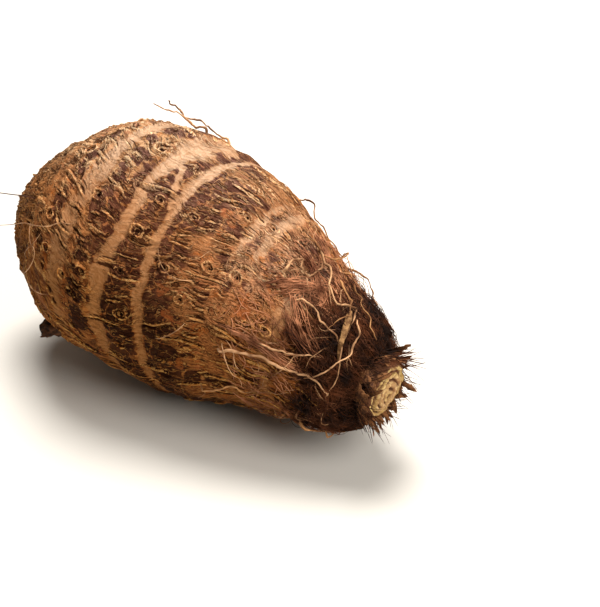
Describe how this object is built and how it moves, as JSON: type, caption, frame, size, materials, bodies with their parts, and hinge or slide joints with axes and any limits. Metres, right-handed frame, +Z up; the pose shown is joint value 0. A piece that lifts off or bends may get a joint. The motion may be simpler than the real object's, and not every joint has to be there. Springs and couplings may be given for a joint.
{
  "type": "taro root",
  "caption": "Whole taro root lying on its side: a fat tapering corm with ringed, ridged brown skin, bud eyes and pale rootlets round a trimmed crown.",
  "frame": {"origin": "bottom centre of the corm's box, level with the flat spot it rests on", "axes": "+X along the corm from the basal end to the crown, +Y across it, +Z up"},
  "size_m": [0.1803, 0.0996, 0.1041],
  "materials": {
    "skin": "matt, rough brown corky skin with paler tan rings",
    "rootlet": "matt, pale tan dry rootlet",
    "fibre": "matt, dark reddish-brown dry fibre",
    "crown": "dry cut leaf base, pale with a green tinge"
  },
  "bodies": {
    "root": {"corm": "skin"}
  },
  "joints": []
}
